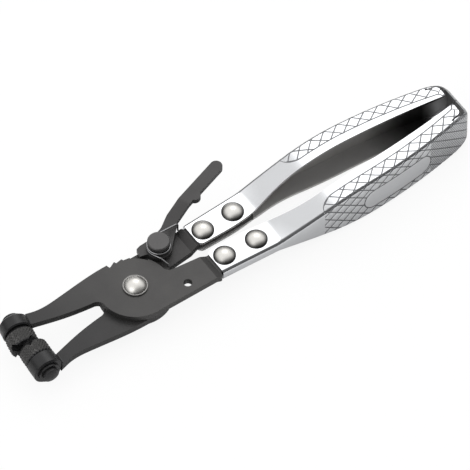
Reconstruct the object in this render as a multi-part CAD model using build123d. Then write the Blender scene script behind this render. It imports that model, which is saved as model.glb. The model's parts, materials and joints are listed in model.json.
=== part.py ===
from build123d import *
import math
import os

# Swivel-jaw pliers for spring band clamps, with a ratchet lock, lying flat and closed.
# Pieces are drawn about the main rivet's axis: +X runs to the handles, +Y to the lock's side,
# and z = 0 is the plane where the two jaw plates meet. The last step sets the part on its base.

# Jaw plates, two stampings that cross at the main rivet
plate_thickness = 3.0
hub_radius = 15.4
jaw_reach = 50.7
front_tang_half_width = 15.4
back_tang_half_width = 14.25
tang_length = 32.6
tang_corner_radius = 1.6
tang_inner_start = -0.18
tang_inner_end = 3.2
crotch_radius = 3.4
tang_root_radius = 3.2
joggle_start = 29.4
joggle_length = 2.9
hang_hole_radius = 1.8
hang_hole_x = 18.3
hang_hole_y = 10.7

# Fits and clearances
slide_gap = 0.05
pin_fit = 0.05
cut_overrun = 30.0

# Ratchet rim of the front plate
rim_radius = 14.3
tooth_count = 4
tooth_pitch_deg = 13.0
first_tooth_deg = 65.0
tooth_root_radius = 13.7
first_tip_radius = 14.2
tip_radius_step = 0.28
tooth_steep_deg = 1.6
tooth_tip_radius = 0.3
relief_start_deg = 34.0

# Main rivet
pivot_shank_radius = 3.6
pivot_head_radius = 5.2
pivot_rim_height = 0.6
pivot_rim_step = 0.45
pivot_dome_height = 2.5

# Swivel jaw heads and the sockets that carry them
barrel_radius = 6.3
barrel_edge = 0.5
shank_radius = 3.2
lower_face_gap = 0.3
lower_head_length = 6.3
lower_axis_lean_deg = 4.0
lower_socket_length = 6.6
upper_face_gap = 1.3
upper_head_length = 6.6
upper_axis_lean_deg = -11.0
upper_socket_length = 5.6
upper_neck_length = 1.15
upper_neck_radius = 5.0
socket_gap = 0.15
socket_fillet = 1.5
blend_start = 8.2
blend_end = 12.9
groove_width = 3.6
groove_depth = 1.9
upper_groove_deg = 30.0
lower_groove_deg = 75.0
ring_radius = 4.7
ring_thickness = 0.9
pin_end_radius = 3.4
pin_end_length = 1.2
pin_dome_height = 0.9

# Handles, folded from sheet
sheet = 1.2
bend_radius = 1.6
handle_front = 33.2
handle_end = 158.9
handle_gap = 0.5
handle_front_width = 14.4
flange_edge_front = 2.2
flange_corner_radius = 2.4
grip_half_height = 10.65
neck_end = 58.2
tab_start = 149.0
tab_half_height = 6.4
slit_width = 0.6
flange_end = 154.4
flange_end_radius = 2.0
tongue_margin = 6.6
tongue_play = 0.15

# Places along a handle: the grip's outer curve from its front width, the flange's inner edge and the height
grip_rise_x = 70.0
grip_rise_step = 1.85
grip_fall_x = 104.0
grip_fall_step = 2.2
curl_start_x = 154.9
curl_start_step = 4.3
edge_neck_x = 45.0
edge_rise_x = 66.0
edge_rise_y = 4.8
edge_crown_x = 86.0
edge_crown_y = 7.35
edge_end_y = 2.6
height_rise_x = 61.9
height_rise_z = 3.16
height_full_x = 84.0
height_full_z = 8.06
height_crown_x = 107.8

# Handle rivets
rivet_shank_radius = 2.5
rivet_head_radius = 4.65
rivet_rim_height = 0.35
rivet_dome_height = 2.1
rivet_front_x = 38.3
rivet_front_y = 7.7
rivet_rear_x = 53.4
rivet_rear_y = 8.35

# Lock: the pawl with its thumb lever, its stud and its spring
stud_x = 18.8
stud_y = 10.7
stud_neck_radius = 3.2
stud_shank_radius = 2.4
stud_head_radius = 4.65
stud_head_thickness = 2.0
stud_head_edge = 0.4
stud_tail_radius = 3.6
stud_tail_rim = 0.2
stud_tail_height = 0.9
spring_space = 2.9
pawl_thickness = 2.4
pawl_boss_radius = 5.4
lever_angle_deg = 22.0
lever_bend_start = 8.0
lever_bend_length = 14.0
lever_rise = 5.0
lever_tip_x = 59.1
lever_tip_y = 28.25
lever_tip_radius = 2.6
thumb_bump_x = 43.6
thumb_bump_y = 21.15
thumb_bump_radius = 2.5
bend_soft_radius = 4.0

# Lock spring
wire_radius = 0.4
coil_radius = 4.6
coil_pitch = 1.25
coil_gap = 0.25
spring_bend_radius = 1.0
anchor_x = 17.9
anchor_y = 2.4
anchor_depth = 2.2
leg_lead = 3.3
leg_height = 0.9
hook_gap = 0.1
hook_share = 0.86

# Outlines as shares: along the jaw by its reach, across it by the hub's radius
arm_outer_shares = ((-0.965, 0.97), (-0.88, 0.9), (-0.79, 0.822), (-0.59, 0.828), (-0.39, 0.905), (-0.21, 0.96))
arm_inner_shares = ((-0.965, 0.6), (-0.79, 0.445), (-0.59, 0.285), (-0.395, 0.185), (-0.27, 0.14))
# The pawl's nose and the root of its lever, from the stud by the boss radius
nose_shares = ((-1.639, 0.111), (-1.426, 0.833), (-1.056, 0.944), (0.0, 1.0), (0.0, -0.98), (-1.1, 0.0))
root_shares = ((0.0, 1.0), (1.185, 1.4), (2.02, 1.89), (2.35, 0.98), (0.87, -0.5), (0.0, -0.98))

upper_socket_start = upper_face_gap + upper_head_length + upper_neck_length + socket_gap
lower_socket_start = lower_face_gap + lower_head_length + socket_gap
neck_half_height = plate_thickness / 2 + sheet
tongue_length = rivet_rear_x + tongue_margin
grip_rise_y = handle_front_width + grip_rise_step
grip_fall_y = handle_front_width + grip_fall_step
curl_start_y = handle_front_width - curl_start_step
plate_low = slide_gap / 2
plate_high = plate_low + plate_thickness
stud_place = Pos(stud_x, stud_y, 0)
pawl_high = plate_low + pawl_thickness
head_low = pawl_high + spring_space
tang_slope = (tang_inner_end - tang_inner_start) / tang_length
heel_deg = first_tooth_deg + (tooth_count - 1) * tooth_pitch_deg


def polar(radius, degrees):
    return (radius * math.cos(math.radians(degrees)), radius * math.sin(math.radians(degrees)))


def turned(shape):
    """The same piece for the other half of the tool."""
    return shape.rotate(Axis.X, 180)


def tang_face(half_width):
    """The tang of the front plate, with the narrower tongue that the handle holds."""
    tongue_outer = -(handle_front_width - sheet - tongue_play)
    shoulder = Polyline(
        (0, -half_width),
        (tang_length, -half_width),
        (tang_length, -tang_inner_end),
        (0, -tang_inner_start),
        close=True,
    )
    body = make_face(shoulder)
    corner = body.vertices().sort_by(Axis.X)[-2:].sort_by(Axis.Y)[0]
    body = fillet(corner, tang_corner_radius)
    tongue = make_face(Polyline(
        (tang_length - tang_corner_radius, -tang_inner_end),
        (tongue_length, -tang_inner_end),
        (tongue_length, tongue_outer),
        (tang_length - tang_corner_radius, tongue_outer),
        close=True,
    ))
    return body + tongue


def arm_face():
    """The jaw arm of the front plate, from the hub to the socket's axis."""
    outer = [(x * jaw_reach, y * hub_radius) for x, y in arm_outer_shares]
    outer.append(polar(hub_radius, heel_deg))
    inner = [(x * jaw_reach, y * hub_radius) for x, y in arm_inner_shares]
    edge = [Spline(*outer), Line(outer[-1], (0, 0)), Line((0, 0), inner[-1]), Spline(*reversed(inner))]
    edge.append(Line(inner[0], outer[0]))
    return make_face(edge)


def soften_corner(slab, place, radius):
    """Rounds the upright corner of a slab that stands nearest to a place in plan."""
    spot = Vector(*place)
    upright = [edge for edge in slab.edges().filter_by(Axis.Z)]
    corner = min(upright, key=lambda edge: (Vector(edge.center().X, edge.center().Y) - spot).length)
    return fillet(corner, radius)


def ratchet_teeth():
    """Saw teeth that rise away from the lock and drop steeply towards it."""
    inside = rim_radius - hub_radius * 0.2
    teeth = Sketch()
    for index in range(tooth_count - 1):
        angle = first_tooth_deg + index * tooth_pitch_deg
        tip = first_tip_radius + index * tip_radius_step
        heel = min(angle + tooth_pitch_deg - tooth_steep_deg, heel_deg - tooth_steep_deg)
        tooth = make_face(Polyline(
            polar(inside, heel),
            polar(tooth_root_radius, heel),
            polar(tip, angle),
            polar(tooth_root_radius, angle - tooth_steep_deg),
            polar(inside, angle - tooth_steep_deg),
            close=True,
        ))
        point = max(tooth.vertices(), key=lambda corner: math.hypot(corner.X, corner.Y))
        teeth += fillet(point, tooth_tip_radius)
    return teeth


def plate_slab(outline, rim):
    """Cuts the outline from sheet that steps down to the middle plane at the tang's end."""
    step = plate_low + plate_thickness / 2
    ribbon = Polyline(
        (-jaw_reach - cut_overrun, plate_low),
        (joggle_start, plate_low),
        (joggle_start + joggle_length, plate_low - step),
        (tongue_length + cut_overrun, plate_low - step),
        (tongue_length + cut_overrun, plate_high - step),
        (joggle_start + joggle_length, plate_high - step),
        (joggle_start, plate_high),
        (-jaw_reach - cut_overrun, plate_high),
        close=True,
    )
    strip = extrude(Plane.XZ * make_face(ribbon), amount=cut_overrun, both=True)
    slab = through(outline)
    slab = soften_corner(slab, (-hub_radius, hub_radius * arm_inner_shares[-1][1]), crotch_radius)
    slab = soften_corner(slab, (rim, -tang_inner_start - rim * tang_slope), tang_root_radius)
    return slab & strip


def socket_bore_cut(socket_start, lean):
    return along_jaw(Cylinder(barrel_radius, 2 * cut_overrun), socket_start, lean)


def disc(radius):
    """A round face whose seam lies under the jaw arm."""
    return Rot(0, 0, 180) * Circle(radius)


def front_plate():
    hub = disc(rim_radius) + (disc(hub_radius) & make_face(Polyline(
        (0, 0),
        polar(2 * hub_radius, heel_deg),
        (-2 * hub_radius, 2 * hub_radius),
        (-2 * hub_radius, -2 * hub_radius),
        (0, -2 * hub_radius),
        close=True,
    )))
    outline = hub + arm_face() + tang_face(front_tang_half_width)
    # The rim is down at the tooth roots from below the closed pawl's nose to the last tooth
    relief = polar(2 * hub_radius, relief_start_deg)
    window = make_face(Polyline((0, 0), relief, polar(2 * hub_radius, heel_deg), close=True))
    outline = outline - (window - disc(tooth_root_radius)) + ratchet_teeth()
    plate = plate_slab(outline, rim_radius)
    plate -= Cylinder(pivot_shank_radius + pin_fit, cut_overrun)
    plate -= Pos(hang_hole_x, -hang_hole_y, 0) * Cylinder(hang_hole_radius, cut_overrun)
    plate -= handle_rivet_holes(-1)
    return plate - socket_bore_cut(upper_socket_start, upper_axis_lean_deg)


def back_plate():
    outline = disc(hub_radius) + arm_face() + tang_face(back_tang_half_width)
    plate = turned(plate_slab(outline, hub_radius))
    plate -= Cylinder(pivot_shank_radius, cut_overrun)
    plate -= stud_place * Cylinder(stud_shank_radius, cut_overrun)
    plate -= Pos(anchor_x, anchor_y, 0) * Cylinder(wire_radius + pin_fit, cut_overrun)
    plate -= handle_rivet_holes(1)
    return plate - turned(socket_bore_cut(lower_socket_start, lower_axis_lean_deg))


def rivet_places(side):
    return [(rivet_front_x, side * rivet_front_y), (rivet_rear_x, side * rivet_rear_y)]


def handle_rivet_holes(side):
    return [Pos(x, y, 0) * Cylinder(rivet_shank_radius, 2 * cut_overrun) for x, y in rivet_places(side)]


def rivet_head(radius, rim, rim_step, dome, base):
    """A rivet head above the height base: a low rim, a step where there is one, and a dome."""
    inner = radius - rim_step
    ball = (inner ** 2 + dome ** 2) / (2 * dome)
    crown = base + rim + dome
    half_angle = math.asin(inner / ball) / 2
    middle = (ball * math.sin(half_angle), crown - ball + ball * math.cos(half_angle))
    edges = [Line((0, base), (radius, base)), Line((radius, base), (radius, base + rim))]
    if rim_step:
        edges.append(Line((radius, base + rim), (inner, base + rim)))
    edges.append(ThreePointArc((inner, base + rim), middle, (0, crown)))
    edges.append(Line((0, crown), (0, base)))
    return revolve(Plane.XZ * make_face(edges), Axis.Z)


def handle_rivet(x, y):
    head = rivet_head(rivet_head_radius, rivet_rim_height, 0, rivet_dome_height, neck_half_height)
    rivet = Cylinder(rivet_shank_radius, 2 * neck_half_height) + head + turned(head)
    return Pos(x, y, 0) * rivet


def pivot_rivet():
    head = rivet_head(pivot_head_radius, pivot_rim_height, pivot_rim_step, pivot_dome_height, plate_high + slide_gap)
    tail = turned(rivet_head(pivot_head_radius, pivot_rim_height, pivot_rim_step, pivot_dome_height, plate_high))
    shank_top = plate_high + slide_gap
    shank = Pos(0, 0, (shank_top - plate_high) / 2) * Cylinder(pivot_shank_radius, shank_top + plate_high)
    return shank + head + tail


def lean_place(socket_start, lean):
    """Place of a jaw's own axis, which leans in plan about the middle of its socket's inner face."""
    return Pos(-jaw_reach, socket_start, 0) * Rot(0, 0, lean) * Pos(0, -socket_start, 0)


def along_jaw(shape, socket_start, lean):
    """Lays a piece drawn on the Z axis along a jaw's own axis."""
    return lean_place(socket_start, lean) * Rot(-90, 0, 0) * shape


def jaw_head(face, length, neck_length, socket_length, groove_deg):
    """Turned head with crossed grooves in its face, its neck, its shank and the headed end."""
    bottom = (Align.CENTER, Align.CENTER, Align.MIN)
    barrel = Pos(0, 0, face) * Cylinder(barrel_radius, length, align=bottom)
    barrel = chamfer(barrel.edges().filter_by(GeomType.CIRCLE), barrel_edge)
    groove = make_face(Polyline(
        (-groove_width / 2, face), (groove_width / 2, face), (0, face + groove_depth), close=True,
    ))
    cutter = extrude(Plane.XZ * groove, amount=2 * barrel_radius, both=True)
    for turn in (groove_deg, groove_deg + 90):
        barrel -= Rot(0, 0, turn) * cutter
    socket_start = face + length + neck_length + socket_gap
    pin_start = socket_start + socket_length + 2 * socket_gap + ring_thickness
    head = barrel + Pos(0, 0, face + length) * Cylinder(shank_radius, pin_start - face - length, align=bottom)
    if neck_length:
        head += Pos(0, 0, face + length) * Cylinder(upper_neck_radius, neck_length, align=bottom)
    head += rivet_head(pin_end_radius, pin_end_length, 0, pin_dome_height, pin_start)
    return head


def socket(start, length, lean):
    """Short tube at the jaw's tip, blended into both faces of the arm."""
    bottom = (Align.CENTER, Align.CENTER, Align.MIN)
    tube = Pos(0, 0, start) * Cylinder(barrel_radius, length, align=bottom)
    tube = chamfer(tube.edges().filter_by(GeomType.CIRCLE), barrel_edge)
    tube = along_jaw(tube, start, lean) + blend(start, length, lean)
    return tube - along_jaw(Cylinder(shank_radius + pin_fit, 2 * cut_overrun), start, lean)


def blend(start, length, lean):
    """Concave fillet between the socket and both faces of the arm."""
    bead = Sketch()
    for level, side in ((plate_high, 1), (plate_low, -1)):
        centre_z = level + side * socket_fillet
        centre_x = math.sqrt((barrel_radius + socket_fillet) ** 2 - centre_z ** 2)
        share = barrel_radius / (barrel_radius + socket_fillet)
        meeting = math.sqrt(barrel_radius ** 2 - level ** 2)
        corner = make_face(Polyline(
            (centre_x * share, centre_z * share), (centre_x, level), (meeting, level), close=True,
        ))
        bead += corner - Pos(centre_x, centre_z) * Circle(socket_fillet)
    # The arm's edges, measured along the leaning socket on the side that meets the arm
    turn = math.radians(lean)
    foot = start + barrel_radius * math.sin(turn)
    near = start + max(0, (blend_start - foot) / math.cos(turn))
    far = start + min(length - barrel_edge, (blend_end - foot) / math.cos(turn))
    bead_place = lean_place(start, lean) * Pos(0, near, 0)
    return bead_place * extrude(Plane.XZ * bead, amount=near - far)


def retaining_ring(socket_start, length, lean):
    bottom = (Align.CENTER, Align.CENTER, Align.MIN)
    ring = Cylinder(ring_radius, ring_thickness, align=bottom) - Cylinder(shank_radius + pin_fit, 2 * cut_overrun)
    return along_jaw(Pos(0, 0, socket_start + length + socket_gap) * ring, socket_start, lean)


def grip_envelope():
    """Plan of the upper handle's outer face, open towards the other handle."""
    front = Line((handle_front, handle_front_width), (grip_rise_x, grip_rise_y))
    crown = TangentArc((grip_rise_x, grip_rise_y), (grip_fall_x, grip_fall_y), tangent=front % 1)
    fall = TangentArc((grip_fall_x, grip_fall_y), (curl_start_x, curl_start_y), tangent=crown % 1)
    slope = fall % 1
    curl_radius = (handle_end - curl_start_x) / (1 + slope.Y)
    curl_end = (handle_end, curl_start_y - curl_radius * slope.X)
    curl = TangentArc((curl_start_x, curl_start_y), curl_end, tangent=slope)
    slope_front = (grip_rise_y - handle_front_width) / (grip_rise_x - handle_front)
    lead = (handle_front - cut_overrun, handle_front_width - slope_front * cut_overrun)
    edges = [Line(lead, (handle_front, handle_front_width)), front, crown, fall, curl]
    edges += [
        Line(curl_end, (handle_end, -cut_overrun)),
        Line((handle_end, -cut_overrun), (handle_front - cut_overrun, -cut_overrun)),
        Line((handle_front - cut_overrun, -cut_overrun), lead),
    ]
    return make_face(edges)


def height_profile(fall_start, end_height):
    """Side view of a handle: low and flat at the rivets, flared to the grip, then falling from a place."""
    start = (handle_front - 2 * cut_overrun, neck_half_height)
    neck = Line(start, (neck_end, neck_half_height))
    rise = TangentArc((neck_end, neck_half_height), (height_rise_x, height_rise_z), tangent=neck % 1)
    flare = Line((height_rise_x, height_rise_z), (height_full_x, height_full_z))
    crown = TangentArc((height_full_x, height_full_z), (height_crown_x, grip_half_height), tangent=flare % 1)
    level = Line((height_crown_x, grip_half_height), (fall_start, grip_half_height))
    top = [neck, rise, flare, crown, level]
    if end_height < grip_half_height:
        top.append(TangentArc((fall_start, grip_half_height), (handle_end, end_height), tangent=level % 1))
        top.append(Line((handle_end, end_height), (handle_end + cut_overrun, end_height)))
    past, last = top[-1].position_at(1).X, top[-1].position_at(1).Y
    bottom = [edge.mirror(Plane.XZ) for edge in top]
    ends = [Line(start, (start[0], -start[1])), Line((past, last), (past, -last))]
    return make_face(top + bottom + ends)


def flange_window():
    """Plan of what is cut from both flanges, on the side of the other handle."""
    neck = Line((handle_front - cut_overrun, flange_edge_front), (edge_neck_x, flange_edge_front))
    rise = TangentArc((edge_neck_x, flange_edge_front), (edge_rise_x, edge_rise_y), tangent=neck % 1)
    crown = TangentArc((edge_rise_x, edge_rise_y), (edge_crown_x, edge_crown_y), tangent=rise % 1)
    fall = TangentArc((edge_crown_x, edge_crown_y), (flange_end, edge_end_y), tangent=crown % 1)
    far = (handle_end + cut_overrun, edge_end_y)
    low = -2 * cut_overrun
    edges = [neck, rise, crown, fall, Line((flange_end, edge_end_y), far), Line(far, (far[0], low))]
    edges.append(Line((far[0], low), (handle_front - cut_overrun, low)))
    edges.append(Line((handle_front - cut_overrun, low), (handle_front - cut_overrun, flange_edge_front)))
    return make_face(edges)


def through(face):
    return extrude(Plane.XY.offset(-cut_overrun) * face, amount=2 * cut_overrun)


def across(face):
    return extrude(Plane.XZ * face, amount=3 * cut_overrun, both=True)


def plan_box(start, end):
    """Plan between two places along the handle, up to the gap between the handles."""
    corners = [(start, handle_gap / 2), (end, handle_gap / 2), (end, 2 * grip_rise_y), (start, 2 * grip_rise_y)]
    return make_face(Polyline(*corners, close=True))


def folded_sheet(envelope, inside, side):
    """The web and both flanges, bent from sheet along a plan and a side view."""
    blank = through(envelope & plan_box(handle_front, handle_end + cut_overrun)) & across(side)
    blank = fillet(long_bends(blank), bend_radius)
    hollow = through(inside) & across(offset(side, -sheet, kind=Kind.INTERSECTION))
    return blank - hollow


def upper_handle():
    envelope = grip_envelope()
    inside = offset(envelope, -sheet, kind=Kind.INTERSECTION)
    grip = folded_sheet(envelope, inside, height_profile(handle_end + cut_overrun, grip_half_height))
    # Behind the slits the flanges stop short, and the web runs on alone as a lower, curled tab
    flange_plan = offset(envelope, -bend_radius - slit_width, kind=Kind.INTERSECTION)
    flange_plan &= plan_box(tab_start - slit_width, flange_end)
    rear_corner = flange_plan.vertices().sort_by(Axis.X)[-2:].sort_by(Axis.Y)[-1]
    flange_plan = fillet(rear_corner, flange_end_radius)
    keep = plan_box(handle_front, tab_start) + flange_plan
    grip = grip & through(keep) - through(inside & flange_window())
    tab = folded_sheet(envelope, inside, height_profile(tab_start, tab_half_height))
    ring = envelope - offset(envelope, -bend_radius, kind=Kind.INTERSECTION)
    tab &= through(ring & plan_box(tab_start, handle_end + cut_overrun))
    handle = grip + tab
    corners = [e for e in handle.edges().filter_by(Axis.Z) if is_front_corner(e)]
    handle = fillet(corners, flange_corner_radius)
    holes = [Pos(x, y, 0) * Cylinder(rivet_shank_radius, 2 * cut_overrun) for x, y in rivet_places(1)]
    return handle - holes


def long_bends(blank):
    """The two long edges where the web turns into the flanges."""
    bends = []
    for edge in blank.edges():
        middle = edge.center()
        span = edge.bounding_box().size
        on_front = abs(middle.X - handle_front) < slide_gap
        on_gap = abs(middle.Y - handle_gap / 2) < slide_gap and span.Y < slide_gap
        upright = span.X < slide_gap and span.Y < slide_gap
        if not on_front and not on_gap and not upright:
            bends.append(edge)
    return bends


def is_front_corner(edge):
    middle = edge.center()
    return abs(middle.X - handle_front) < slide_gap and abs(middle.Y - flange_edge_front) < slide_gap


def boss_points(shares):
    return [(stud_x + x * pawl_boss_radius, stud_y + y * pawl_boss_radius) for x, y in shares]


def pawl_outline():
    """Plan of the pawl: boss, nose, lever root, lever and thumb bump."""
    root = boss_points(root_shares)
    tip = Vector(lever_tip_x, lever_tip_y)
    upper, lower = Vector(*root[2]), Vector(*root[3])
    axis = (tip - (upper + lower) / 2).normalized()
    side = Vector(-axis.Y, axis.X) * lever_tip_radius
    lever = make_face(Polyline(root[2], tip + side, tip - side, root[3], close=True))
    outline = stud_place * Circle(pawl_boss_radius) + make_face(Polyline(*boss_points(nose_shares), close=True))
    outline += make_face(Polyline(*root, close=True))
    outline += lever + Pos(lever_tip_x, lever_tip_y) * Circle(lever_tip_radius)
    return outline + Pos(thumb_bump_x, thumb_bump_y) * Circle(thumb_bump_radius)


def pawl_lever():
    """The outline, cut from strip that is bent up towards the thumb pad."""
    bend_end = lever_bend_start + lever_bend_length
    far = lever_tip_x + cut_overrun
    low = FilletPolyline(
        (-cut_overrun, plate_low),
        (lever_bend_start, plate_low),
        (bend_end, plate_low + lever_rise),
        (far, plate_low + lever_rise),
        radius=bend_soft_radius,
    )
    high = low.moved(Location((0, pawl_thickness, 0)))
    ends = [Line(low @ 0, high @ 0), Line(low @ 1, high @ 1)]
    ribbon = extrude(Plane.XZ * make_face([low, high] + ends), amount=2 * cut_overrun, both=True)
    ribbon = stud_place * Rot(0, 0, lever_angle_deg) * ribbon
    lever = through(pawl_outline()) & ribbon
    return lever - stud_place * Cylinder(stud_neck_radius + pin_fit, 2 * cut_overrun)


def pawl_stud():
    bottom = (Align.CENTER, Align.CENTER, Align.MIN)
    neck_low = -plate_low
    neck = Pos(0, 0, neck_low) * Cylinder(stud_neck_radius, head_low - neck_low, align=bottom)
    head = Pos(0, 0, head_low) * Cylinder(stud_head_radius, stud_head_thickness, align=bottom)
    head = chamfer(head.edges().filter_by(GeomType.CIRCLE).sort_by(Axis.Z)[-1], stud_head_edge)
    shank = Pos(0, 0, -plate_high) * Cylinder(stud_shank_radius, plate_high + neck_low, align=bottom)
    tail = turned(rivet_head(stud_tail_radius, stud_tail_rim, 0, stud_tail_height, plate_high))
    return stud_place * (neck + head + shank + tail)


def arc_pair(start, start_way, end, end_way):
    """Two arcs that join two points of the coil and leave along the given directions."""
    chord = end - start
    ways = start_way + end_way
    spread = 1 - start_way.dot(end_way)
    along = chord.dot(ways)
    reach = (math.sqrt(along ** 2 + 2 * spread * chord.dot(chord)) - along) / (2 * spread)
    middle = (start + start_way * reach + end - end_way * reach) * 0.5
    first = Edge.make_tangent_arc(start, start_way, middle)
    return [first, Edge.make_tangent_arc(middle, first % 1, end)]


def bent_wire(points, radius):
    """Straight runs joined by tangent arcs."""
    edges = []
    start = points[0]
    for corner, following in zip(points[1:-1], points[2:]):
        into = (corner - start).normalized()
        away = (following - corner).normalized()
        cut = radius * math.tan(math.radians(into.get_angle(away)) / 2)
        edges.append(Edge.make_line(start, corner - into * cut))
        edges.append(Edge.make_tangent_arc(corner - into * cut, into, corner + away * cut))
        start = corner + away * cut
    edges.append(Edge.make_line(start, points[-1]))
    return edges


def tangent_angle(place, side):
    """Angle on the coil where a straight leg to the place leaves it."""
    offset_x, offset_y = place[0] - stud_x, place[1] - stud_y
    opening = math.degrees(math.acos(coil_radius / math.hypot(offset_x, offset_y)))
    return math.degrees(math.atan2(offset_y, offset_x)) + side * opening


def hook_place():
    """Beside the lower edge of the lever's root, where the spring's end hooks on."""
    far, near = [Vector(*point) for point in boss_points(root_shares)[3:5]]
    run = (far - near).normalized()
    outward = Vector(run.Y, -run.X) * (wire_radius + hook_gap)
    spot = near + (far - near) * hook_share + outward
    return (spot.X, spot.Y)


def pawl_spring():
    """Torsion spring: a leg to the back plate, the coil, and a leg hooked over the lever."""
    anchor, hook = (anchor_x, anchor_y), hook_place()
    begin = tangent_angle(anchor, -1) % 360
    turn = begin - tangent_angle(hook, 1) + 360
    steps = math.ceil(turn / 90)
    low = pawl_high + wire_radius + coil_gap
    slope = coil_pitch / (2 * math.pi * coil_radius)

    def coil_point(angle):
        height = low + (begin - angle) / 360 * coil_pitch
        return Vector(stud_x, stud_y, height) + Vector(*polar(coil_radius, angle))

    def coil_way(angle):
        x, y = polar(1, angle - 90)
        return Vector(x, y, slope).normalized()

    angles = [begin - turn * step / steps for step in range(steps + 1)]
    coil = []
    for angle, following in zip(angles, angles[1:]):
        coil += arc_pair(coil_point(angle), coil_way(angle), coil_point(following), coil_way(following))
    start, end = coil_point(angles[0]), coil_point(angles[-1])
    lift = start - coil_way(angles[0]) * leg_lead
    foot = Vector(*anchor, plate_low + leg_height)
    anchored = bent_wire([Vector(*anchor, -anchor_depth), foot, lift, start], spring_bend_radius)
    reach = math.hypot(hook[0] - end.X, hook[1] - end.Y)
    turn_down = end + coil_way(angles[-1]) * reach
    hooked = bent_wire([end, turn_down, Vector(turn_down.X, turn_down.Y, plate_low + leg_height)], spring_bend_radius)
    path = Wire(anchored + coil + hooked)
    section = Plane(origin=path @ 0, z_dir=path % 0) * Circle(wire_radius)
    spring = sweep(section, path=path)
    turns_apart = [
        (coil_point(first) - coil_point(second)).length
        for first in angles for second in angles if first - second >= 180
    ]
    pitch_gaps = [
        (coil_point(begin - step) - coil_point(begin - step - 360)).length for step in range(int(turn - 360))
    ]
    print("spring: least gap to itself", round(min(turns_apart + pitch_gaps) - 2 * wire_radius, 3))
    print("spring: volume over section times length", round(spring.volume / (section.area * path.length), 4))
    return spring


def whole_tool():
    upper = (upper_socket_start, upper_socket_length, upper_axis_lean_deg)
    lower = (lower_socket_start, lower_socket_length, lower_axis_lean_deg)
    upper_head = jaw_head(upper_face_gap, upper_head_length, upper_neck_length, upper_socket_length, upper_groove_deg)
    lower_head = jaw_head(lower_face_gap, lower_head_length, 0, lower_socket_length, lower_groove_deg)
    grip = upper_handle()
    pieces = {
        "front_plate": front_plate(),
        "back_plate": back_plate(),
        "pivot_rivet": pivot_rivet(),
        "upper_handle": grip,
        "lower_handle": grip.mirror(Plane.XZ),
        "upper_jaw_head": along_jaw(upper_head, upper_socket_start, upper_axis_lean_deg),
        "lower_jaw_head": along_jaw(lower_head, lower_socket_start, lower_axis_lean_deg).mirror(Plane.XZ),
        "upper_jaw_socket": socket(*upper),
        "lower_jaw_socket": turned(socket(*lower)),
        "upper_jaw_ring": retaining_ring(*upper),
        "lower_jaw_ring": retaining_ring(*lower).mirror(Plane.XZ),
        "pawl_lever": pawl_lever(),
        "pawl_stud": pawl_stud(),
        "pawl_spring": pawl_spring(),
    }
    for side, name in ((1, "upper"), (-1, "lower")):
        front, rear = rivet_places(side)
        pieces[name + "_front_rivet"] = handle_rivet(*front)
        pieces[name + "_rear_rivet"] = handle_rivet(*rear)
    return pieces


def main():
    os.makedirs("parts", exist_ok=True)
    pieces = whole_tool()
    boxes = [piece.bounding_box() for piece in pieces.values()]
    low = [min(getattr(box.min, axis) for box in boxes) for axis in "XYZ"]
    high = [max(getattr(box.max, axis) for box in boxes) for axis in "XYZ"]
    base = Pos(-(low[0] + high[0]) / 2, -(low[1] + high[1]) / 2, -low[2])
    for name, piece in pieces.items():
        export_step(base * piece, "parts/" + name + ".step")
    print("main rivet axis at", [round(value, 3) for value in (base.position.X, base.position.Y, base.position.Z)])


main()
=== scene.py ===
import json
import math

import bmesh
import bpy
import numpy as np
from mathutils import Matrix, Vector


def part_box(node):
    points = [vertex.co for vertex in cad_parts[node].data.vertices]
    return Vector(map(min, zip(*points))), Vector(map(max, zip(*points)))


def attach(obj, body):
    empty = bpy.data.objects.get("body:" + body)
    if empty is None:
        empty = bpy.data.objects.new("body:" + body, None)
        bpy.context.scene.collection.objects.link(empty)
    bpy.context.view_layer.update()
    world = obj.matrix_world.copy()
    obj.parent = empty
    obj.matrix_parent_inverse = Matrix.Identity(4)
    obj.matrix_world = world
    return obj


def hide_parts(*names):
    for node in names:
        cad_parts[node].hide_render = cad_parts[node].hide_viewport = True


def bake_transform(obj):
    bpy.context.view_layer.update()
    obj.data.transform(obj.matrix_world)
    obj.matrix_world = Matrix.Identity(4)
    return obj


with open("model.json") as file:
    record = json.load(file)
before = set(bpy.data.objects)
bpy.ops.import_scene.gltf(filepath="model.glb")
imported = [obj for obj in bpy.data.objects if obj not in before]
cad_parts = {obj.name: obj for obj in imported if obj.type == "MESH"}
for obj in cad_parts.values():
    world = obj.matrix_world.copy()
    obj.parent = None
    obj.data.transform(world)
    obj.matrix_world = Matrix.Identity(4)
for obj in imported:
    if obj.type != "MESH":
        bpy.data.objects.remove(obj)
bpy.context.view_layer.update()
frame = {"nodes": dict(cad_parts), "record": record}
print("frame loaded:", len(frame["nodes"]), "nodes")

mm = 0.001

# The main rivet's axis, which the camera and the patterns are placed from
rivetLow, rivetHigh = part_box("pivot_rivet")
pivot = (rivetLow + rivetHigh) / 2


# The camera looks as the photograph does

cameraSettings = {
    "aim": (48.66, -0.17, 0.0),      # mm from the main rivet's axis, the middle of the picture
    "turnDeg": 34.8,                 # how far the tool is turned in the picture
    "elevationDeg": 53.6,
    "distance": 5000.0,              # mm, a very long lens, as the photograph has hardly any perspective
    "frameWidth": 189.4,             # mm across the picture at the aim
    "sensor": 36.0, "clipShare": 10.0,
}


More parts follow.
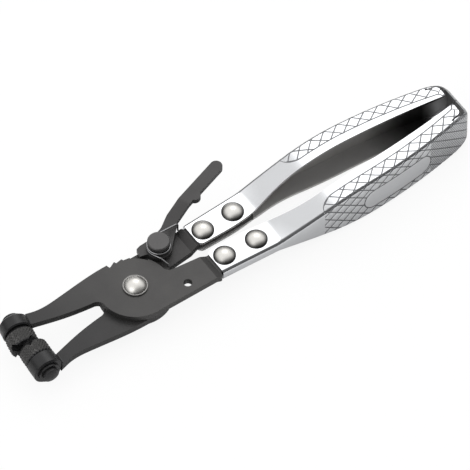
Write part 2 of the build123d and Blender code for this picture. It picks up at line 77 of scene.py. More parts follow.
def addCamera(s):
    turn, rise = math.radians(s["turnDeg"]), math.radians(s["elevationDeg"])
    aim = pivot + Vector(s["aim"]) * mm
    away = Vector((-math.sin(turn) * math.cos(rise), -math.cos(turn) * math.cos(rise), math.sin(rise)))
    data = bpy.data.cameras.new("camera")
    data.sensor_width = s["sensor"]
    data.lens = s["sensor"] * s["distance"] / s["frameWidth"]
    data.clip_end = s["clipShare"] * s["distance"] * mm
    camera = bpy.data.objects.new("camera", data)
    camera.location = aim + away * s["distance"] * mm
    camera.rotation_euler = (-away).to_track_quat("-Z", "Y").to_euler()
    bpy.context.scene.collection.objects.link(camera)
    bpy.context.scene.camera = camera


addCamera(cameraSettings)
print("camera placed")


# Materials, each named for the real finish; some also carry painted shade and painted reflection in their
# colour

# sRGB hex to linear, with alpha
def linearColour(text):
    values = [int(text[i:i + 2], 16) / 255 for i in (1, 3, 5)]
    return [v / 12.92 if v <= 0.04045 else ((v + 0.055) / 1.055) ** 2.4 for v in values] + [1.0]


# A node with its plain settings, its socket values and the sockets that feed it
def addNode(tree, kind, settings=None, links=None):
    node = tree.nodes.new(kind)
    for key, value in (settings or {}).items():
        if key in node.inputs:
            node.inputs[key].default_value = value
        else:
            setattr(node, key, value)
    for key, source in (links or {}).items():
        tree.links.new(source, node.inputs[key])
    return node


def newMaterial(name):
    material = bpy.data.materials.new(name)
    material.use_nodes = True
    material.node_tree.nodes.clear()
    return material, material.node_tree


# Where a pattern is read: the piece's own place, in metres
def placeOn(tree):
    return addNode(tree, "ShaderNodeTexCoord").outputs["Object"]


def alongTool(tree):
    return addNode(tree, "ShaderNodeSeparateXYZ", None, {"Vector": placeOn(tree)}).outputs["X"]


# How far a face looks straight up or down, 0 to 1
def levelness(tree):
    facing = addNode(tree, "ShaderNodeTexCoord").outputs["Normal"]
    height = addNode(tree, "ShaderNodeSeparateXYZ", None, {"Vector": facing}).outputs["Z"]
    return addNode(tree, "ShaderNodeMath", {"operation": "ABSOLUTE"}, {0: height}).outputs[0]


# Noise with its size in mm
def noiseOn(tree, size, detail):
    settings = {"Scale": 1 / (size * mm), "Detail": detail}
    return addNode(tree, "ShaderNodeTexNoise", settings, {"Vector": placeOn(tree)}).outputs["Fac"]


# A value moved from one range to another, and kept inside it
def mapped(tree, value, source, target=(0.0, 1.0), smooth=False):
    return addNode(tree, "ShaderNodeMapRange", {
        "interpolation_type": "SMOOTHSTEP" if smooth else "LINEAR",
        "From Min": source[0], "From Max": source[1], "To Min": target[0], "To Max": target[1],
    }, {"Value": value}).outputs["Result"]


# A colour between two, by a share. The first may be another node's colour.
def mixed(tree, share, first, second):
    node = addNode(tree, "ShaderNodeMix", {"data_type": "RGBA"}, {"Factor": share})
    if isinstance(first, bpy.types.NodeSocket):
        tree.links.new(first, node.inputs[6])
    else:
        node.inputs[6].default_value = first
    node.inputs[7].default_value = second
    return node.outputs[2]


def baseColour(material):
    return material.node_tree.nodes["Principled BSDF"].inputs["Base Color"]


def recolour(material, colour):
    material.node_tree.links.new(colour, baseColour(material))
    return material


# Black oxide on rolled, stamped steel: a satin grey-black, a little cloudy, with fine rolling grain.
# Towards the jaws it is darkened with painted shade, where less light falls on it.
blackOxide = {
    "dark": "#3c3b3b", "light": "#4a4948",
    "cloudSize": 9.0, "cloudDetail": 4.0, "grainSize": 0.35, "grainDetail": 2.0,     # sizes in mm
    "roughness": (0.42, 0.55), "metallic": 0.55, "bumpHeight": 0.012, "bumpStrength": 0.6,
    "paintedShadeTone": "#262627", "darkens": (-50.0, -100.0), "paintedShadeShare": 0.75,     # mm along the tool
}


def makeBlackOxide(name, s):
    material, tree = newMaterial(name)
    grain = noiseOn(tree, s["grainSize"], s["grainDetail"])
    clouds = noiseOn(tree, s["cloudSize"], s["cloudDetail"])
    colour = mixed(tree, clouds, linearColour(s["dark"]), linearColour(s["light"]))
    # Painted shade: the colour darkens towards the jaws along the tool
    start, end = s["darkens"]
    paintedJawShade = mapped(tree, alongTool(tree), (start * mm, end * mm), (0.0, s["paintedShadeShare"]))
    relief = {"Distance": s["bumpHeight"] * mm, "Strength": s["bumpStrength"]}
    bump = addNode(tree, "ShaderNodeBump", relief, {"Height": grain})
    shader = addNode(tree, "ShaderNodeBsdfPrincipled", {"Metallic": s["metallic"]}, {
        "Base Color": mixed(tree, paintedJawShade, colour, linearColour(s["paintedShadeTone"])),
        "Roughness": mapped(tree, grain, (0.0, 1.0), s["roughness"]),
        "Normal": bump.outputs["Normal"],
    })
    addNode(tree, "ShaderNodeOutputMaterial", None, {"Surface": shader.outputs["BSDF"]})
    return material


# The same oxide in other tones
def oxideToned(name, dark, light, **others):
    return makeBlackOxide(name, dict(blackOxide, dark=dark, light=light, **others))


# The knurl is painted black in its grooves, as painted shade, and a little lighter on its points, as wear and
# painted highlight. Pointiness is 0.5 on a flat face.
knurlWearAndShade = {"groove": "#1f1f1f", "point": "#4f4e4d", "hollow": 0.42, "proud": 0.6}


def wearAndShadeKnurl(material, s):
    tree = material.node_tree
    pointed = addNode(tree, "ShaderNodeNewGeometry").outputs["Pointiness"]
    edge = mapped(tree, pointed, (s["hollow"], s["proud"]))
    return recolour(material, mixed(tree, edge, linearColour(s["groove"]), linearColour(s["point"])))


# Bright chrome plate over folded sheet: near white where it meets the light, with faint polishing haze
chromePlate = {"colour": "#c4c5c7", "hazeSize": 6.0, "roughness": (0.1, 0.17)}

# The same plate inside the fold, where no polishing wheel reaches: dull
chromeInside = {"hazeSize": 5.0, "roughness": (0.45, 0.58)}

# The bottom of a groove rolled into the plated sheet: satin, where the polishing wheel doesn't reach, and
# painted dark grey as shade in the groove
chromeGrooveShaded = {"colour": "#6c6d6f", "hazeSize": 3.0, "roughness": (0.3, 0.42)}

# Bright steel of rivet heads: warmer and softer than the chrome
rivetSteel = {"colour": "#cccac6", "hazeSize": 1.2, "roughness": (0.3, 0.4)}

# Drawn spring wire: grey steel with a soft glint along it
springSteel = {"colour": "#8c8c8d", "hazeSize": 0.8, "roughness": (0.28, 0.4)}

hazeDetail = 5.0


def makeBrightMetal(name, s):
    material, tree = newMaterial(name)
    haze = noiseOn(tree, s["hazeSize"], hazeDetail)
    settings = {"Base Color": linearColour(s["colour"]), "Metallic": 1.0}
    rough = mapped(tree, haze, (0.0, 1.0), s["roughness"])
    shader = addNode(tree, "ShaderNodeBsdfPrincipled", settings, {"Roughness": rough})
    addNode(tree, "ShaderNodeOutputMaterial", None, {"Surface": shader.outputs["BSDF"]})
    return material


# The dark line along each fold, where it is probably a mirrored dark. Here it is painted as a dark
# reflection: a grey in the plate, between the flats and the sides, told by how level a face is.
foldPaintedDark = {"share": 0.3, "flat": (0.93, 0.985), "side": (0.62, 0.85)}


def paintFoldDark(material, s):
    tree = material.node_tree
    bright = tuple(baseColour(material).default_value)
    paintedDark = tuple(value * s["share"] for value in bright[:3]) + (1.0,)
    level = levelness(tree)
    onFlat = mapped(tree, level, s["flat"])
    onSide = mapped(tree, level, s["side"], (1.0, 0.0))
    kept = addNode(tree, "ShaderNodeMath", {"operation": "MAXIMUM"}, {0: onFlat, 1: onSide})
    return recolour(material, mixed(tree, kept.outputs[0], paintedDark, bright))


# Tones along the inside of the fold as the photograph shows them, at mm along the tool.
# These tones are painted shade and painted reflection, laid over the plate's own colour.
insideShadeTones = [
    (10, "#d4d3d2"), (50, "#cccbca"), (72, "#c0bfbe"), (90, "#4c4b4b"), (98, "#3c3b3b"), (106, "#b8b8b9"),
]


def shadeInside(material, tones):
    tree = material.node_tree
    first, last = tones[0][0], tones[-1][0]
    share = mapped(tree, alongTool(tree), (first * mm, last * mm))
    ramp = addNode(tree, "ShaderNodeValToRGB", None, {"Fac": share})
    stops = ramp.color_ramp.elements
    while len(stops) < len(tones):
        stops.new(0.5)
    for stop, (place, tone) in zip(stops, tones):
        stop.position = (place - first) / (last - first)
        stop.color = linearColour(tone)
    return recolour(material, ramp.outputs["Color"])


# A rivet head is bright on its crown and painted dark down its side: painted shade for the dark plates that
# the side mirrors. The main rivet's flat rim is dark there too.
rivetShade = {
    "side": "#3a3938", "slopes": (0.68, 0.94), "ringedSlopes": (0.5, 0.8),     # by how level a face is
    "rim": "#636261", "rimStart": 4.75, "rimBlend": 0.1,                       # mm from the rivet's middle
}


def shadeRivet(material, s, rimMiddle=None):
    tree = material.node_tree
    bright = tuple(baseColour(material).default_value)
    ringed = rimMiddle is not None
    crown = mapped(tree, levelness(tree), s["ringedSlopes"] if ringed else s["slopes"], smooth=True)
    if ringed:
        flat = addNode(tree, "ShaderNodeVectorMath", {"operation": "MULTIPLY_ADD"}, {0: placeOn(tree)})
        flat.inputs[1].default_value = (1, 1, 0)
        flat.inputs[2].default_value = (-rimMiddle[0], -rimMiddle[1], 0)
        radius = addNode(tree, "ShaderNodeVectorMath", {"operation": "LENGTH"}, {0: flat.outputs[0]})
        rim = s["rimStart"] * mm, (s["rimStart"] + s["rimBlend"]) * mm
        inner = mapped(tree, radius.outputs["Value"], rim, (1.0, 0.0))
        crown = addNode(tree, "ShaderNodeMath", {"operation": "MULTIPLY"}, {0: crown, 1: inner}).outputs[0]
    dark = linearColour(s["rim"] if ringed else s["side"])
    return recolour(material, mixed(tree, crown, dark, bright))


insideMetal = dict(chromeInside, colour=insideShadeTones[0][1])
finishes = {
    "jaw_plates": makeBlackOxide("blackOxideSheet", blackOxide),
    "jaw_sockets": oxideToned("blackOxideTurned", "#2c2c2d", "#363636", roughness=(0.3, 0.42)),
    "jaw_heads": oxideToned("blackOxideHead", "#333334", "#3d3d3e", roughness=(0.36, 0.5)),
    "lock_steel": oxideToned("blackOxideLock", "#4a4949", "#585757"),
    # The chrome's dark fold line is a painted reflection
    "handle_chrome": paintFoldDark(makeBrightMetal("chromePlate", chromePlate), foldPaintedDark),
    # The inside's tones along the tool are painted shade and painted reflection
    "handle_inside": shadeInside(makeBrightMetal("chromeInsideFold", insideMetal), insideShadeTones),
    # The grooves' dark grey is painted shade
    "handle_groove": makeBrightMetal("chromeGrooveShaded", chromeGrooveShaded),
    "rivet_steel": shadeRivet(makeBrightMetal("rivetSteel", rivetSteel), rivetShade),
    "spring_wire": makeBrightMetal("springWire", springSteel),
}
slotOf = {part["node"]: part["material_slot"] for part in frame["record"]["subparts"]}
jointOf = {joint["name"]: joint for joint in frame["record"]["behaviour"]["joints"]}
rivetTurned = frame["nodes"]["pivot_rivet"].matrix_world.inverted()
rivetMiddle = rivetTurned @ Vector(jointOf["jaw_pivot"]["pos_m"])
knurledSteel = wearAndShadeKnurl(makeBlackOxide("blackOxideKnurlPoints", blackOxide), knurlWearAndShade)
ownFinish = {
    "pivot_rivet": shadeRivet(makeBrightMetal("rivetSteelRinged", rivetSteel), rivetShade, rivetMiddle),
    "pawl_lever": oxideToned("blackOxideLever", "#3b3a3a", "#464545"),
    # The back plate's darker tones are painted shade: it looks darker only because it lies in shade
    "back_plate": oxideToned("blackOxideBackSheetShaded", "#323131", "#3e3d3d"),
}
for name, node in frame["nodes"].items():
    node.data.materials.clear()
    node.data.materials.append(ownFinish.get(name, finishes[slotOf[name]]))
print("finishes made:", len(finishes) + len(ownFinish))


# The handles: the folded sheet, with an engraved diamond pattern over its web and flanges.
# The outer skin is unrolled flat, cut along the edges and middle of each groove, and folded back.

handleGrip = {
    "insideStart": 34.0, "skinStart": 76.0,                    # mm along the tool from the main rivet
    "levelEnd": 148.0, "flangeEnd": 154.4,
    "webSlopes": (0.05, 0.02), "webHeight": 5.0, "routeSpare": 4.0,     # how the web's outer face is told
    "levelSlope": 0.7, "hiddenSlopes": (-0.3, -0.6),           # how flanges and inner faces are told
    "stripLength": 1.5, "bendReach": 1.7, "bendSpare": 0.2, "sharpDeg": 16.0,
    "grooveHalf": 0.3, "grooveDepth": 0.17,
    "evenSlope": 0.97, "evenStep": 0.5, "evenReach": 9,
    "lines": ((-1.25, 75.6, 6.65), (1.25, 98.4, 6.4)),         # lean, place and spacing of both sets
    "spareLines": 12, "farOff": 9.0, "edgeReach": 0.01,        # farOff is past any groove
    "fineShares": (0.34, 0.67),                                # more of the first set, behind the pad
    "bandStart": 81.5, "bandRound": 8.0, "bandWidth": 5.8,     # on the flanges, beside the bend
    "spare": 1.0, "nearLine": 4.0,                             # how far round a line the skin is cut
    "roundCuts": (0.0, 0.15, 0.4, 0.8, 1.4, 2.2, 3.2, 4.6, 6.2, 8.0),
    "padStart": 101.0, "padEnd": 136.0, "padHalf": 5.3, "padMiddle": -1.0,     # the smooth pad on the web
    "padCutHalf": 8.0, "padCutStep": 1.3,
}
handleFinishes = ("handle_chrome", "handle_inside", "handle_groove")
weldReach = 0.001     # mm


# A copy of a CAD piece's mesh, with its faces joined up
def cadCopy(name):
    shape = bmesh.new()
    shape.from_mesh(frame["nodes"][name].data)
    bmesh.ops.remove_doubles(shape, verts=shape.verts, dist=weldReach * mm)
    bmesh.ops.recalc_face_normals(shape, faces=shape.faces)
    return shape


# Places in mm from the main rivet's axis
def spotsOf(points):
    return (np.array(points) - np.array(pivot)) / mm


# The plan curve of the web's outer face, from its tall upright faces
def webRoute(shape, g):
    points = set()
    aside, level = g["webSlopes"]
    for face in shape.faces:
        if face.normal.y > aside and abs(face.normal.z) < level:
            spots = spotsOf([v.co for v in face.verts])
            if np.ptp(spots[:, 2]) > g["webHeight"]:
                points.update((round(x, 3), round(y, 3)) for x, y, z in spots)
    route = np.array(sorted(points, key=lambda point: point[0] - point[1]))
    route = route[route[:, 0] > g["skinStart"] - g["routeSpare"]]
    along = np.concatenate([[0], np.cumsum(np.hypot(*np.diff(route, axis=0).T))])
    return route, along + route[0, 0]


# How far along the route and how far inside it each place lies in plan
def onRoute(spots, route, along):
    run = np.diff(route, axis=0)
    offset = spots[:, None, :2] - route[:-1]
    share = np.clip((offset * run).sum(2) / (run ** 2).sum(1), 0, 1)
    gap = np.linalg.norm(offset - run * share[..., None], axis=2)
    best, rows = gap.argmin(1), np.arange(len(spots))
    return along[best] + share[rows, best] * np.diff(along)[best], gap[rows, best]


# Faces with their edges and corners, as a cut wants them
def withBorders(faces):
    edges, verts = {e for face in faces for e in face.edges}, {v for face in faces for v in face.verts}
    return faces + list(edges) + list(verts)


# How near a corner may lie to a cut before it counts as on it, in the mesh's own unit: metres, or mm once
# a skin is unrolled
cutReach = 1e-6


# Cuts faces along parallel lines, in order, so that each line looks only at the faces it can reach
def cutLines(shape, faces, normal, places):
    normal = Vector(normal)

    def reach(face):
        sides = [v.co.dot(normal) for v in face.verts]
        return min(sides), max(sides), face

    queue = sorted((reach(face) for face in faces), key=lambda item: item[0])
    found, active = 0, []
    for place in sorted(places):
        while found < len(queue) and queue[found][0] < place:
            active.append(queue[found])
            found += 1
        near = [item[2] for item in active if item[1] > place]
        active = []
        if near:
            geometry = withBorders(near)
            cut = bmesh.ops.bisect_plane(
                shape, geom=geometry, dist=cutReach, plane_co=normal * place, plane_no=normal)
            active = [reach(face) for face in cut["geom"] if isinstance(face, bmesh.types.BMFace)]


# Half-width of the patterned band on a flange, with its rounded start
def bandWidthAt(u, g):
    run = np.clip((u - g["bandStart"]) / g["bandRound"], 0, 1)
    return g["bandWidth"] * np.sqrt(1 - (1 - run) ** 2)


# How far a place on the unrolled skin is outside the smooth pad, below 0 on the pad
def padDistance(u, v, g):
    middle = np.clip(u, g["padStart"] + g["padHalf"], g["padEnd"] - g["padHalf"])
    return np.hypot(u - middle, v - g["padMiddle"]) - g["padHalf"]


# The grooves: a lean, the places of its lines, and whether they run only behind the pad on the web
def grooveSets(g, last):
    sets = []
    for index, (lean, place, spacing) in enumerate(g["lines"]):
        count = np.arange(-g["spareLines"], int((last - place) / spacing) + g["spareLines"])
        sets.append((lean, place + spacing * count, False))
        if index == 0:
            for share in g["fineShares"]:
                sets.append((lean, place + spacing * (count + share), True))
    return sets


# The distance from a place on the unrolled skin to the nearest groove's middle
def grooveDistance(u, v, corner, sets, g):
    beyond = np.abs(v) - corner - bandWidthAt(u, g)
    pad = padDistance(u, v, g)
    onBand = (beyond < 0) & (pad > 0) & (u > g["bandStart"])
    outline = np.minimum(np.abs(beyond), np.abs(pad))
    distance = np.where(u > g["bandStart"] - g["edgeReach"], outline, g["farOff"])
    for lean, places, onlyRear in sets:
        along = (u + lean * v)[:, None]
        near = np.abs(along - places).min(1) / math.hypot(1, lean)
        ruled = onBand & ((u > g["padEnd"]) & (np.abs(v) < corner) if onlyRear else True)
        distance = np.where(ruled, np.minimum(distance, near), distance)
    return distance


def chartOf(items):
    return np.array([item[:2] for item in items])


def engraveHandle(shape, g):
    for name in ("skin", "inside"):
        shape.faces.layers.int.new(name)
    for name in ("folded", "outward"):
        shape.verts.layers.float_vector.new(name)
    skin, inside = shape.faces.layers.int["skin"], shape.faces.layers.int["inside"]
    folded, outward = shape.verts.layers.float_vector["folded"], shape.verts.layers.float_vector["outward"]
    route, along = webRoute(shape, g)

    # Short strips first, so that the curved skin unrolls without folding over
    def markSkin(faces):
        middles = spotsOf([face.calc_center_median() for face in faces])
        gaps = onRoute(middles, route, along)[1]
        inY, inX = g["hiddenSlopes"]
        for face, middle, gap in zip(faces, middles, gaps):
            flat = abs(face.normal.z) > g["levelSlope"]
            hidden = face.normal.z * middle[2] < 0 if flat else face.normal.y < inY or face.normal.x < inX
            face[inside] = int(hidden and middle[0] > g["insideStart"])
            onFlange = flat and (gap < g["bendReach"] or middle[0] < g["flangeEnd"])
            outer = gap < g["bendReach"] / 2 or onFlange
            face[skin] = int(not hidden and middle[0] > g["skinStart"] and outer)

    markSkin(list(shape.faces))
    first = g["skinStart"] + g["stripLength"] / 3
    strips = pivot.x + np.arange(first, route[:, 0].max(), g["stripLength"]) * mm
    cutLines(shape, [face for face in shape.faces if face[skin]], (1, 0, 0), list(strips))
    shape.normal_update()
    markSkin([face for face in shape.faces if face[skin]])

    for vert in shape.verts:
        vert[folded] = vert.co
        vert[outward] = vert.normal
    faces = [face for face in shape.faces if face[skin]]
    verts = list({v for face in faces for v in face.verts})
    middles = spotsOf([face.calc_center_median() for face in faces])
    gaps = onRoute(middles, route, along)[1]
    flange = (gaps > g["bendReach"] + g["bendSpare"]) & (middles[:, 0] < g["levelEnd"])
    level = spotsOf([v.co for face, keep in zip(faces, flange) if keep for v in face.verts])
    level = level[np.argsort(level[:, 0])]
    spots = spotsOf([v.co for v in verts])
    u, inward = onRoute(spots, route, along)
    corner = np.interp(spots[:, 0], level[:, 0], np.abs(level[:, 2]))
    order = np.argsort(u)
    cornerAt = lambda place: np.interp(place, u[order], corner[order])
    v = np.sign(spots[:, 2]) * (np.abs(spots[:, 2]) + inward)
    for vert, x, y in zip(verts, u, v):
        vert.co = (x, y, 0)

    def skinFaces(test):
        faces = [face for face in shape.faces if face[skin]]
        places = chartOf([face.calc_center_median() for face in faces])
        return [face for face, keep in zip(faces, test(places[:, 0], places[:, 1])) if keep]

    half = g["grooveHalf"]
    offsets = (-half, 0, half)
    last = along[-1]
    sets = grooveSets(g, last)
    everywhere = lambda u, v: u > g["bandStart"] - g["spare"]
    rear = lambda u, v: (u > g["padEnd"] - 2 * g["spare"]) & (np.abs(v) < cornerAt(u) + g["spare"])
    cutLines(shape, skinFaces(everywhere), (1, 0, 0), [g["bandStart"] + step for step in g["roundCuts"]])
    for lean, places, onlyRear in sets:
        stretch = math.hypot(1, lean)
        lines = [(place / stretch + offset) for place in places for offset in offsets]
        cutLines(shape, skinFaces(rear if onlyRear else everywhere), Vector((1, lean, 0)).normalized(), lines)
    reach = g["padCutHalf"]
    ends = lambda u, v: (np.abs(padDistance(u, v, g)) < g["nearLine"]) & (np.abs(v) < reach)
    cutLines(shape, skinFaces(ends), (0, 1, 0), list(np.arange(-reach, reach, g["padCutStep"])))

    # The border and the pad's outline are straight once the skin is measured from them
    for measure in (
        lambda u, v: np.abs(v) - cornerAt(u) - bandWidthAt(u, g),
        lambda u, v: padDistance(u, v, g),
    ):
        faces = skinFaces(lambda u, v: (u > g["bandStart"]) & (np.abs(measure(u, v)) < g["nearLine"]))
        verts = list({v for face in faces for v in face.verts})
        flat = chartOf([vert.co for vert in verts])
        for vert, value in zip(verts, measure(flat[:, 0], flat[:, 1])):
            vert.co.z = value
        cutLines(shape, faces, (0, 0, 1), list(offsets))
        for vert in shape.verts:
            if vert.co.z and vert.co.x > 1:     # unrolled in mm, where every other vertex is in metres
                vert.co.z = 0
    faces = [face for face in shape.faces if face[skin]]
    bmesh.ops.triangulate(shape, faces=faces)
    faces = [face for face in shape.faces if face[skin]]

    places = chartOf([face.calc_center_median() for face in faces])
    near = grooveDistance(places[:, 0], places[:, 1], cornerAt(places[:, 0]), sets, g)
    plate, inner, groove = range(len(handleFinishes))
    for face, distance in zip(faces, near):
        face.material_index = groove if distance < half else plate
    verts = list({v for face in faces for v in face.verts})
    places = chartOf([vert.co for vert in verts])
    near = grooveDistance(places[:, 0], places[:, 1], cornerAt(places[:, 0]), sets, g)
    depths = np.clip(1 - near / half, 0, 1) * g["grooveDepth"] * mm
    depths *= [all(face[skin] for face in vert.link_faces) for vert in verts]     # edges stay whole
    for vert, depth in zip(verts, depths):
        vert[folded] = Vector(vert[folded]) - Vector(vert[outward]).normalized() * depth
    for vert in shape.verts:
        vert.co = vert[folded]
    for face in shape.faces:
        if face[inside]:
            face.material_index = inner


# Keeps a sum of no areas from dividing by 0
tiniest = 1e-12


# A flange was pressed from one flat sheet, so its shading changes evenly along it, whatever its triangles
def evenFlanges(mesh, g):
    count = len(mesh.polygons)
    normals, centres = np.empty(count * 3), np.empty(count * 3)
    areas, finish = np.empty(count), np.empty(count, int)
    mesh.polygons.foreach_get("normal", normals)
    mesh.polygons.foreach_get("center", centres)
    mesh.polygons.foreach_get("area", areas)
    mesh.polygons.foreach_get("material_index", finish)
    normals, centres = normals.reshape(-1, 3), centres.reshape(-1, 3) / mm
    corners = np.array([corner.vector for corner in mesh.corner_normals])
    loopFace = np.repeat(np.arange(count), [len(face.vertices) for face in mesh.polygons])
    loopVert = np.empty(len(mesh.loops), int)
    mesh.loops.foreach_get("vertex_index", loopVert)
    places = np.array([vert.co[0] for vert in mesh.vertices]) / mm
    spare = g["spare"]
    bins = np.arange(centres[:, 0].min() - spare, centres[:, 0].max() + 2 * spare, g["evenStep"])
    kernel = np.hanning(2 * g["evenReach"] + 1)
    for turn in (1, -1):
        flange = (normals[:, 2] * turn > g["evenSlope"]) & (finish == 0)
        weight = np.convolve(np.histogram(centres[flange, 0], bins, weights=areas[flange])[0], kernel, "same")
        slopes = []
        for axis in (0, 1):
            share = normals[flange, axis] / normals[flange, 2] * areas[flange]
            total = np.convolve(np.histogram(centres[flange, 0], bins, weights=share)[0], kernel, "same")
            slopes.append(total / np.maximum(weight, tiniest))
        loops = flange[loopFace]
        x = places[loopVert[loops]]
        middles = (bins[1:] + bins[:-1]) / 2
        even = [np.interp(x, middles, slope) for slope in slopes] + [np.ones(len(x))]
        even = np.stack(even, 1) * turn
        corners[loops] = even / np.linalg.norm(even, axis=1)[:, None]
    mesh.normals_split_custom_set([tuple(corner) for corner in corners])


def addHandle(name, body, shape, g):
    mesh = bpy.data.meshes.new(name + "Engraved")
    shape.to_mesh(mesh)
    for finish in handleFinishes:
        mesh.materials.append(finishes[finish])
    mesh.shade_smooth()
    mesh.set_sharp_from_angle(angle=math.radians(g["sharpDeg"]))
    evenFlanges(mesh, g)
    handle = bpy.data.objects.new(name + "_engraved", mesh)
    bpy.context.scene.collection.objects.link(handle)
    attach(handle, body)
    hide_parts(name)
    print("handle engraved:", name, len(mesh.polygons), "faces")


handleShape = cadCopy("upper_handle")
engraveHandle(handleShape, handleGrip)
addHandle("upper_handle", "back_arm", handleShape, handleGrip)

# The lower handle is the same pressing turned over, the mirror image of the upper one
for vert in handleShape.verts:
    vert.co.y = 2 * pivot.y - vert.co.y
bmesh.ops.reverse_faces(handleShape, faces=handleShape.faces)
addHandle("lower_handle", "front_arm", handleShape, handleGrip)
handleShape.free()


# The jaw heads: turned barrels with a diamond knurl rolled into them.
# The barrel is unrolled like the handles' skin, and each diamond keeps its point at the CAD radius.
# The diamonds may be coarser than the real ones, so that they show at the photograph's size.

jawKnurl = {
    "radius": 6.3, "reach": 0.03, "depth": 0.32,      # mm
    "around": 26, "sharpDeg": 12.0,                   # diamonds round the barrel
    "seamReach": 0.002, "seamTurn": 3.0,              # mm, radians
}


# How near a corner may lie to the seam's cut before it counts as on it, in metres
seamCutReach = 1e-7


def knurlHead(name, body, joint, g):
    centre, axis = Vector(joint["pos_m"]), Vector(joint["axis"]).normalized()
    side = axis.cross(Vector((0, 0, 1))).normalized()
    shape = cadCopy(name)
    shape.verts.layers.float_vector.new("folded")
    shape.faces.layers.int.new("knurl")
    folded, mark = shape.verts.layers.float_vector["folded"], shape.faces.layers.int["knurl"]

    def polarOf(co):
        offset = (co - centre) / mm
        along = offset.dot(axis)
        return math.atan2(offset.dot(side), offset.z), along, (offset - axis * along).length

    def barrelFaces():
        inner = g["radius"] - g["reach"]
        return [face for face in shape.faces if min(polarOf(v.co)[2] for v in face.verts) > inner]

    def onSeam(edge):
        offsets = [vert.co - centre for vert in edge.verts]
        return all(abs(offset.dot(side)) < g["seamReach"] * mm and offset.z < 0 for offset in offsets)

    # Split along the underside, so that it unrolls flat
    geometry = withBorders(barrelFaces())
    bmesh.ops.bisect_plane(shape, geom=geometry, dist=seamCutReach, plane_co=centre, plane_no=side)
    seam = [edge for face in barrelFaces() for edge in face.edges if onSeam(edge)]
    bmesh.ops.split_edges(shape, edges=list(set(seam)))
    barrel = barrelFaces()
    for vert in shape.verts:
        vert[folded] = vert.co
    flat = {}
    for face in barrel:
        turning = (face.calc_center_median() - centre).dot(side)
        for vert in face.verts:
            turn, along, radius = polarOf(vert.co)
            turn = math.copysign(turn, turning) if abs(turn) > g["seamTurn"] else turn
            flat[vert] = turn * g["radius"], along, 0
    for vert, place in flat.items():
        vert.co = place
    for face in barrel:
        face[mark] = 1
    pitch = 2 * math.pi * g["radius"] / g["around"]
    lines = [index * pitch / 2 / math.sqrt(2) for index in range(-3 * g["around"], 3 * g["around"])]
    for lean in (1, -1):
        faces = [face for face in shape.faces if face[mark]]
        cutLines(shape, faces, Vector((1, lean, 0)).normalized(), lines)
    for vert in {v for face in shape.faces if face[mark] for v in face.verts}:
        places = [(vert.co.x + lean * vert.co.y) / pitch for lean in (1, -1)]
        share = min(abs(place - round(place)) for place in places)
        spot = Vector(vert[folded])
        offset = spot - centre
        outward = (offset - axis * offset.dot(axis)).normalized()
        vert[folded] = spot - outward * (1 - 2 * share) * g["depth"] * mm
    for face in shape.faces:
        face.material_index = face[mark]
    for vert in shape.verts:
        vert.co = vert[folded]
    bmesh.ops.remove_doubles(shape, verts=shape.verts, dist=weldReach * mm)
    mesh = bpy.data.meshes.new(name + "Knurled")
    shape.to_mesh(mesh)
    shape.free()
    mesh.materials.append(finishes["jaw_heads"])
    mesh.materials.append(knurledSteel)
    mesh.shade_smooth()
    mesh.set_sharp_from_angle(angle=math.radians(g["sharpDeg"]))
    head = bpy.data.objects.new(name + "_knurled", mesh)
    bpy.context.scene.collection.objects.link(head)
    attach(head, body)
    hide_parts(name)
    print("jaw head knurled:", name, len(mesh.polygons), "faces")


knurlHead("upper_jaw_head", "upper_jaw", jointOf["upper_jaw_swivel"], jawKnurl)
knurlHead("lower_jaw_head", "lower_jaw", jointOf["lower_jaw_swivel"], jawKnurl)


# The lock's spring, whose leg is hooked over the lever: a smooth-shaded copy of the CAD piece, left in place

lockSpring = {
    "stillAt": (-26.4, 6.9, 15.0), "movesAt": (-21.2, 7.3, 15.0),     # mm, where it starts and ends bending
    "sharpDeg": 40.0,
}


def addSpring(g):
    shape = cadCopy("pawl_spring")
    mesh = bpy.data.meshes.new("springBending")
    shape.to_mesh(mesh)
    shape.free()
    mesh.materials.append(finishes["spring_wire"])
    mesh.shade_smooth()
    mesh.set_sharp_from_angle(angle=math.radians(g["sharpDeg"]))
    spring = bpy.data.objects.new("pawl_spring_bending", mesh)
    bpy.context.scene.collection.objects.link(spring)
    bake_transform(spring)
    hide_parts("pawl_spring")
    print("lock spring made")


addSpring(lockSpring)


# Floor and soft studio light

studio = {
    "floorSize": 6.0, "floorDrop": 0.0002,                     # metres, as are all places and sizes here
    "paperColour": "#f4f4f4", "whiteShare": 0.9, "mirroredShare": 0.02,
    "keyPlace": (0.365, 0.44, 0.72), "keySize": 0.5, "keyPower": 1.05,
    "fillPlace": (-1.0, -0.3, 0.9), "fillSize": 0.9, "fillPower": 3.0,
}

# The room is light overhead and dark low down and behind the camera, which darkens the line of each bend
room = {"strength": 1.32, "low": (0.1, 0.5), "lowShare": 0.05, "behind": (-0.6, -0.25), "behindShare": 0.2}


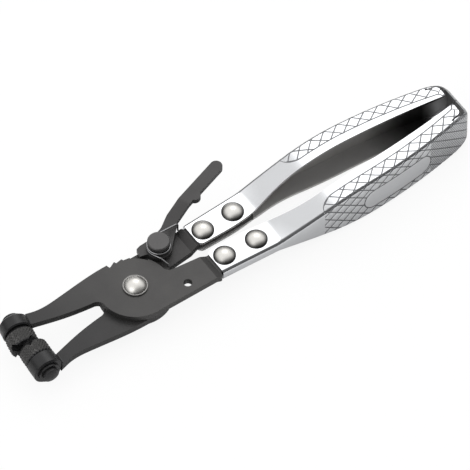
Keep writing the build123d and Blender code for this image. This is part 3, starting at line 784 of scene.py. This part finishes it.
def addFloor(s):
    size = s["floorSize"]
    mesh = bpy.data.meshes.new("floor")
    corners = [(-size, -size, 0), (size, -size, 0), (size, size, 0), (-size, size, 0)]
    mesh.from_pydata(corners, [], [(0, 1, 2, 3)])
    floor = bpy.data.objects.new("floor", mesh)
    floor.location.z = -s["floorDrop"]
    bpy.context.scene.collection.objects.link(floor)
    material, tree = newMaterial("paperSweep")
    paper = addNode(tree, "ShaderNodeBsdfDiffuse", {"Color": linearColour(s["paperColour"])})
    white = addNode(tree, "ShaderNodeEmission", {"Strength": 1.0})
    path = addNode(tree, "ShaderNodeLightPath")
    seen = path.outputs["Is Camera Ray"]
    share = addNode(tree, "ShaderNodeMix", {"data_type": "FLOAT"}, {"Factor": seen})
    mirrored = addNode(tree, "ShaderNodeMath", {"operation": "MULTIPLY"})
    mirrored.inputs[1].default_value = s["mirroredShare"]
    tree.links.new(path.outputs["Is Glossy Ray"], mirrored.inputs[0])
    tree.links.new(mirrored.outputs[0], share.inputs[2])
    share.inputs[3].default_value = s["whiteShare"]
    mix = addNode(tree, "ShaderNodeMixShader")
    tree.links.new(share.outputs[0], mix.inputs[0])
    tree.links.new(paper.outputs[0], mix.inputs[1])
    tree.links.new(white.outputs[0], mix.inputs[2])
    addNode(tree, "ShaderNodeOutputMaterial", None, {"Surface": mix.outputs[0]})
    mesh.materials.append(material)


def addLamp(name, place, size, power):
    data = bpy.data.lights.new(name, "AREA")
    data.size = size
    data.energy = power
    lamp = bpy.data.objects.new(name, data)
    lamp.location = place
    lamp.rotation_euler = (-Vector(place)).to_track_quat("-Z", "Y").to_euler()
    lamp.visible_camera = False     # so that it doesn't stand in the way of a view from above
    bpy.context.scene.collection.objects.link(lamp)


def addRoom(s):
    world = bpy.data.worlds.new("studio")
    world.use_nodes = True
    tree = world.node_tree
    way = addNode(tree, "ShaderNodeTexCoord")
    parts = addNode(tree, "ShaderNodeSeparateXYZ", None, {"Vector": way.outputs["Generated"]})
    high = mapped(tree, parts.outputs["Z"], s["low"], (s["lowShare"], 1.0))
    front = mapped(tree, parts.outputs["Y"], s["behind"], (s["behindShare"], 1.0))
    both = addNode(tree, "ShaderNodeMath", {"operation": "MULTIPLY"}, {0: high, 1: front})
    strength = addNode(tree, "ShaderNodeMath", {"operation": "MULTIPLY"}, {0: both.outputs[0]})
    strength.inputs[1].default_value = s["strength"]
    background = tree.nodes["Background"]
    background.inputs["Color"].default_value = (1, 1, 1, 1)
    tree.links.new(strength.outputs[0], background.inputs["Strength"])
    bpy.context.scene.world = world


addFloor(studio)
addLamp("keyLamp", studio["keyPlace"], studio["keySize"], studio["keyPower"])     # the flanges mirror it
addLamp("fillLamp", studio["fillPlace"], studio["fillSize"], studio["fillPower"])
addRoom(room)
bpy.context.scene.view_settings.view_transform = "Standard"
print("studio lit")
